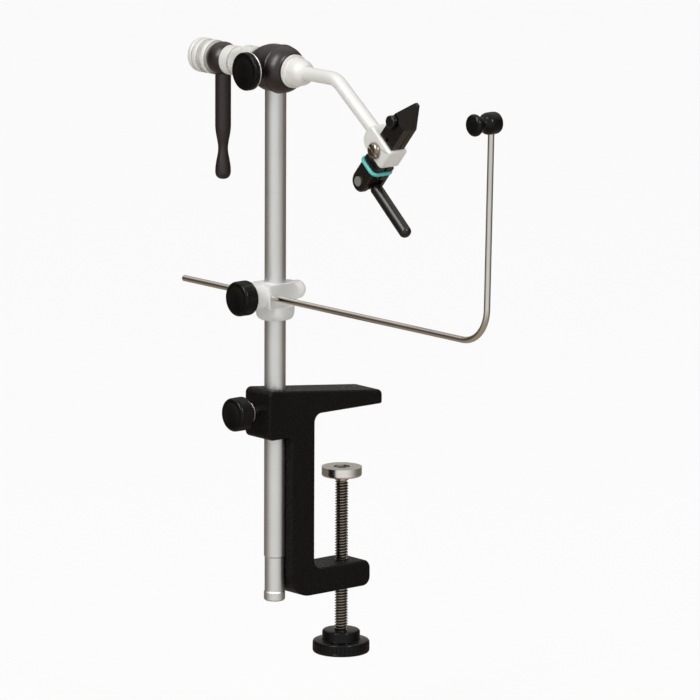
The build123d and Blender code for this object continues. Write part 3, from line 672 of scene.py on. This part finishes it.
# %% Drag collar
collar_shape = [(-31.8, 3.05), *reversed(quarter(-31.3, 6.15, 0.5, 90)), (-26.75, 6.65), (-26.4, 6.3),
                (-26.35, 6.15), (-25.65, 6.15), (-25.6, 6.3), (-20.3, 6.3), (-19.8, 6.0), (-19.8, 3.05),
                (-31.8, 3.05)]
collar = turned("knurled_drag_collar", collar_shape, rotary_axis)
collar = joined(collar, knurled("collar_knurl", -25.6, -20.1, 6.65, 0.28, rotary_axis, 48, 7))
fit(collar, collar_frost, "drag_collar", "drag_collar")

# %% Rear ring
ring_shape = [(-19.75, 4.0), *reversed(quarter(-19.15, 7.35, 0.6, 90)), (-19.0, 7.95), (-18.9, 7.75),
              (-12.3, 7.75), (-12.2, 7.95), *reversed(quarter(-12.05, 7.35, 0.6, 0)), (-11.45, 4.0),
              (-19.75, 4.0)]
ring = turned("knurled_rear_ring", ring_shape, rotary_axis)
ring = joined(ring, knurled("ring_knurl", -18.9, -12.3, 8.05, 0.25, rotary_axis, 60, 8))
fit(ring, ring_frost, "rotary", "rear_ring")

# %% [markdown]
# ## The end knob
# The knob on the end of the shaft is turned with a wide band between two plain ones, a narrow groove and a
# round end. Only its section differs from the rings. Each corner of it has a small flat, because a real edge
# is never quite sharp.

# %% Banded end knob
knob_shape = [(-51.45, 0), (-51.45, 3.05), (-41.1, 3.05), (-41.1, 7.35), (-41.25, 7.62), (-41.5, 7.75),
              (-43.3, 7.75), (-43.5, 7.65), (-43.6, 7.2), (-46.4, 7.2), (-46.5, 7.65), (-46.7, 7.75),
              (-49.0, 7.75), (-49.2, 7.65), (-49.4, 7.32), (-49.9, 7.32), (-50.1, 7.65), (-50.3, 7.75),
              *quarter(-51.1, 5.55, 2.2, 90), (-53.3, 0)]
end_knob = turned("banded_end_knob", knob_shape, rotary_axis)
end_knob = joined(end_knob, knurled("end_knob_band", -46.4, -43.6, 7.46, 0.2, rotary_axis, 56, 4))
fit(end_knob, end_frost, "end_knob", "end_knob")

# %% [markdown]
# ## Lock knobs
# Three thumb knobs lock the stem, the thread rest and the drag. Each is a moulded disc with a shallow dish in
# its face and a fluted rim for the fingers. The disc is turned with as many steps as it has flutes, so each
# flute is one face of the rim, inset and pushed in. A bright washer sits behind the disc of two of them. The
# clamp knob is made the same way.

# %% Fluted knobs
def flute(knob, axis, radius):
    """Presses a flute into each face of a knob's rim."""
    centre, along, _ = axis

    def on_rim(face):
        beside = face.center - centre
        beside -= along * beside.dot(along)
        return abs(face.normal.dot(along)) < 0.02 and beside.length > (radius - 0.1) * mm

    pick(knob, "FACE", on_rim)
    border, depth = 0.2, 0.16
    bpy.ops.mesh.inset(thickness=border * mm, depth=-depth * mm, use_individual=True)
    return close(knob)


def fluted_knob(name, face, height, radius, thickness, hub, edge=1.3):
    """A thumb knob on a line along Y, in millimetres: its face's place, its disc, its hub and its round edge."""
    axis = (Vector((0, 0, height)) * mm, along_y, along_z)
    hub_radius, bore = 5.3, 2.4
    shape = [(0.3, 0), (0.3, 0.60 * radius), (0.1, 0.66 * radius), (0, 0.70 * radius),
             *reversed(quarter(edge, radius - edge, edge, 90)),
             *reversed(quarter(thickness - edge, radius - edge, edge, 0)),
             (thickness, hub_radius), (thickness + hub, hub_radius), (thickness + hub, bore),
             (thickness / 2, bore), (thickness / 2, 0)]
    return flute(turned(name, [(face + place, reach) for place, reach in shape], axis, 48), axis, radius)


def washer(name, near, far, height, inner, outer):
    """A flat ring on a line along Y with its edges broken."""
    axis = (Vector((0, 0, height)) * mm, along_y, along_z)
    edge = 0.1
    rim = [(near, inner), (near, outer - edge), (near + edge, outer), (far - edge, outer), (far, outer - edge),
           (far, inner), (near, inner)]
    return turned(name, rim, axis)


stem_lock_z, cradle_lock_z = 3.55, 55.3
stem_knob = fluted_knob("fluted_stem_knob", -64.1, stem_lock_z, 7.5, 7.6, 1.4)
fit(stem_knob, moulded, "stem_lock", "stem_lock_knob")
fit(washer("stem_knob_washer", -55.1, -54.75, stem_lock_z, 2.4, 5.3), satin, "stem_lock")
cradle_knob = fluted_knob("fluted_cradle_knob", -61.7, cradle_lock_z, 7.75, 7.4, 0.55)
fit(cradle_knob, moulded, "cradle_lock", "cradle_lock_knob")
drag_knob = fluted_knob("fluted_drag_knob", -57.4, rotary_z, 8.45, 3.0, 4.05, 0.8)
fit(drag_knob, moulded, "drag_lock", "drag_knob")
fit(washer("drag_knob_washer", -54.5, -54.0, rotary_z, 5.2, 8.4), satin, "drag_lock")

# %% Clamp knob
clamp_knob_radius = 12.85
clamp_shape = [(-112.0, 0), (-112.0, 3.05), (-102.8, 3.05), *quarter(-103.9, 7.45, 1.1, 0), (-106.9, 8.55),
               (-107.35, 8.75), (-107.5, 9.2), *quarter(-108.6, 11.75, 1.1, 0),
               *quarter(-112.1, 11.75, 1.1, 90), (-113.2, 0)]
clamp_knob = turned("fluted_clamp_knob", clamp_shape, screw_axis, 44)
flute(clamp_knob, screw_axis, clamp_knob_radius)
fit(clamp_knob, moulded, "screw", "clamp_knob")

# %% [markdown]
# ## The thread rest
# The black end of the rod is turned from plastic like a small chess pawn on its side: a domed disc, a waist
# that the thread runs over and a round barrel that is clamped on the rod. Its section has few points, and one
# level of the Subdivision Surface modifier rounds them to a smooth curve, as a hand polish would.

# %% Thread rest
rest_axis = (Vector((151.07, -46.2, 151.08)) * mm, along_y, along_z)
rest_shape = [(-10.8, 0), (-10.85, 1.8), (-11.1, 2.8), (-11.05, 3.9), (-10.4, 4.7), (-9.4, 4.9), (-8.4, 4.55),
              (-7.6, 3.8), (-6.9, 3.1), (-6.2, 2.8), (-5.4, 2.9), (-4.6, 3.5), (-3.7, 4.3), (-2.8, 4.7),
              (-1.6, 4.85), (1.4, 4.85), (2.5, 4.7), (3.1, 4.2), (3.2, 3.3), (3.2, 1.3), (3.2, 1.25),
              (1.5, 1.25), (1.5, 0)]
rest = turned("thread_rest", rest_shape, rest_axis, 40)
shaped(rest, "SUBSURF", levels=1, render_levels=1)
fit(rest, gloss, "cradle_rod", "cradle_spool")

# %% [markdown]
# ## The jaw block
# The block on the end of the arm was milled from bar and tumbled until its corners went soft. A cube is
# brought to size, its four long corners are rounded one after the other, the largest at the back where the
# arm comes in, and then the rims of both sides. A second cube cuts the window for the jaws with a Boolean
# modifier. The block is made level and then tilted.

# %% Soft jaw block
def brick(name, low, high):
    """A cube stretched between two corners in millimetres, with its size in its mesh."""
    low, high = Vector(low) * mm, Vector(high) * mm
    bpy.ops.object.select_all(action="DESELECT")
    bpy.ops.mesh.primitive_cube_add(size=1, location=(low + high) / 2, scale=high - low)
    piece = bpy.context.object
    piece.name = name
    bpy.ops.object.transform_apply(location=True, rotation=True, scale=True)
    return piece


back_x, front_x, low_z, high_z, half_width = -10.8, 0, -6.42, 11.4, 5.3
block = brick("soft_jaw_block", (back_x, -half_width, low_z), (front_x, half_width, high_z))
corners = (((back_x, high_z), 5.0), ((front_x, high_z), 2.8), ((back_x, low_z), 2.2), ((front_x, low_z), 1.2))
for (x, z), size in corners:
    spot = Vector((x, 0, z))
    pick(block, "EDGE", lambda edge: (middle(block, edge) - spot).length < 0.1)
    bpy.ops.mesh.bevel(offset=size * mm, segments=8, affect="EDGES")
    bpy.ops.object.mode_set(mode="OBJECT")
rim_round = 1.42
pick(block, "EDGE", lambda edge: abs(middle(block, edge).y) > half_width - 0.01)
bpy.ops.mesh.bevel(offset=rim_round * mm, segments=6, affect="EDGES")
close(block)
cut(block, brick("window", (-30, -3.82, -4.92), (30, 3.82, 4.92)))
bpy.ops.object.select_all(action="DESELECT")
block.select_set(True)
block.location = Vector((78.63, stem_y, 133.34)) * mm
block.rotation_euler = (0, math.radians(-49.5), 0)
bpy.ops.object.transform_apply(location=True, rotation=True, scale=True)
bpy.ops.object.shade_smooth_by_angle(angle=soft_angle)
fit(block, frosted, "rotary", "jaw_block")

# %% [markdown]
# ## The head housing
# The housing is a barrel with one raised bead round it, turned from bar and then drilled. Its shoulders fall
# off more than a quarter circle would, so they are drawn as a curve between a circle and a straight line.
# Three cylinders cut the sockets for the stem, the drag screw and the set screw.

# %% Beaded head housing
def shoulder(place, radius, run, drop, power):
    """A falling curve from (place, radius). Power 2 is a quarter ellipse and power 1 a straight line."""
    turns = [math.radians(7.5 * step) for step in range(13)]
    bend = 2 / power
    return [(place + run * math.sin(turn) ** bend, radius - drop + drop * abs(math.cos(turn)) ** bend)
            for turn in turns]


def drill(piece, radius, low, high, lean=0.0):
    """Cuts a round hole between two points in millimetres. Lean turns the drill about X."""
    low, high = Vector(low) * mm, Vector(high) * mm
    bpy.ops.object.select_all(action="DESELECT")
    bpy.ops.mesh.primitive_cylinder_add(vertices=64, radius=radius * mm, depth=(high - low).length,
                                        location=(low + high) / 2, rotation=(lean, 0, 0))
    cut(piece, bpy.context.object)


bead = [(3.45, 10.62), (3.62, 10.66), (3.78, 10.76), (3.95, 10.84), (4.12, 10.885), (4.3, 10.9), (4.48, 10.885),
        (4.65, 10.83), (4.8, 10.74), (4.92, 10.62), (5.1, 10.55)]
rear_shoulder = [(-place, radius) for place, radius in reversed(shoulder(1.5, 10.62, 9.9, 3.92, 1.45))]
front_shoulder = shoulder(5.3, 10.53, 6.1, 3.83, 1.7)
bores = [(11.4, 5.25), (6.0, 5.25), (6.0, 4.05), (-6.0, 4.05), (-6.0, 5.25), (-11.4, 5.25), (-11.4, 6.7)]
housing_shape = [*rear_shoulder, *bead, *front_shoulder, *bores]
housing = turned("beaded_head_housing", housing_shape, rotary_axis)
set_screw_z = 147.95
drill(housing, 4.8125, (0, stem_y, 140), (0, stem_y, 150.65))
drill(housing, 2.45, (0, -55, rotary_z), (0, stem_y, rotary_z), math.pi / 2)
drill(housing, 1.5, (0, -34.34, set_screw_z), (0, -25, set_screw_z), math.pi / 2)
edit(housing)
close(housing)
fit(housing, plum, "head", "head_housing")

# %% [markdown]
# ## The end

# %% Finish
print("scene built")
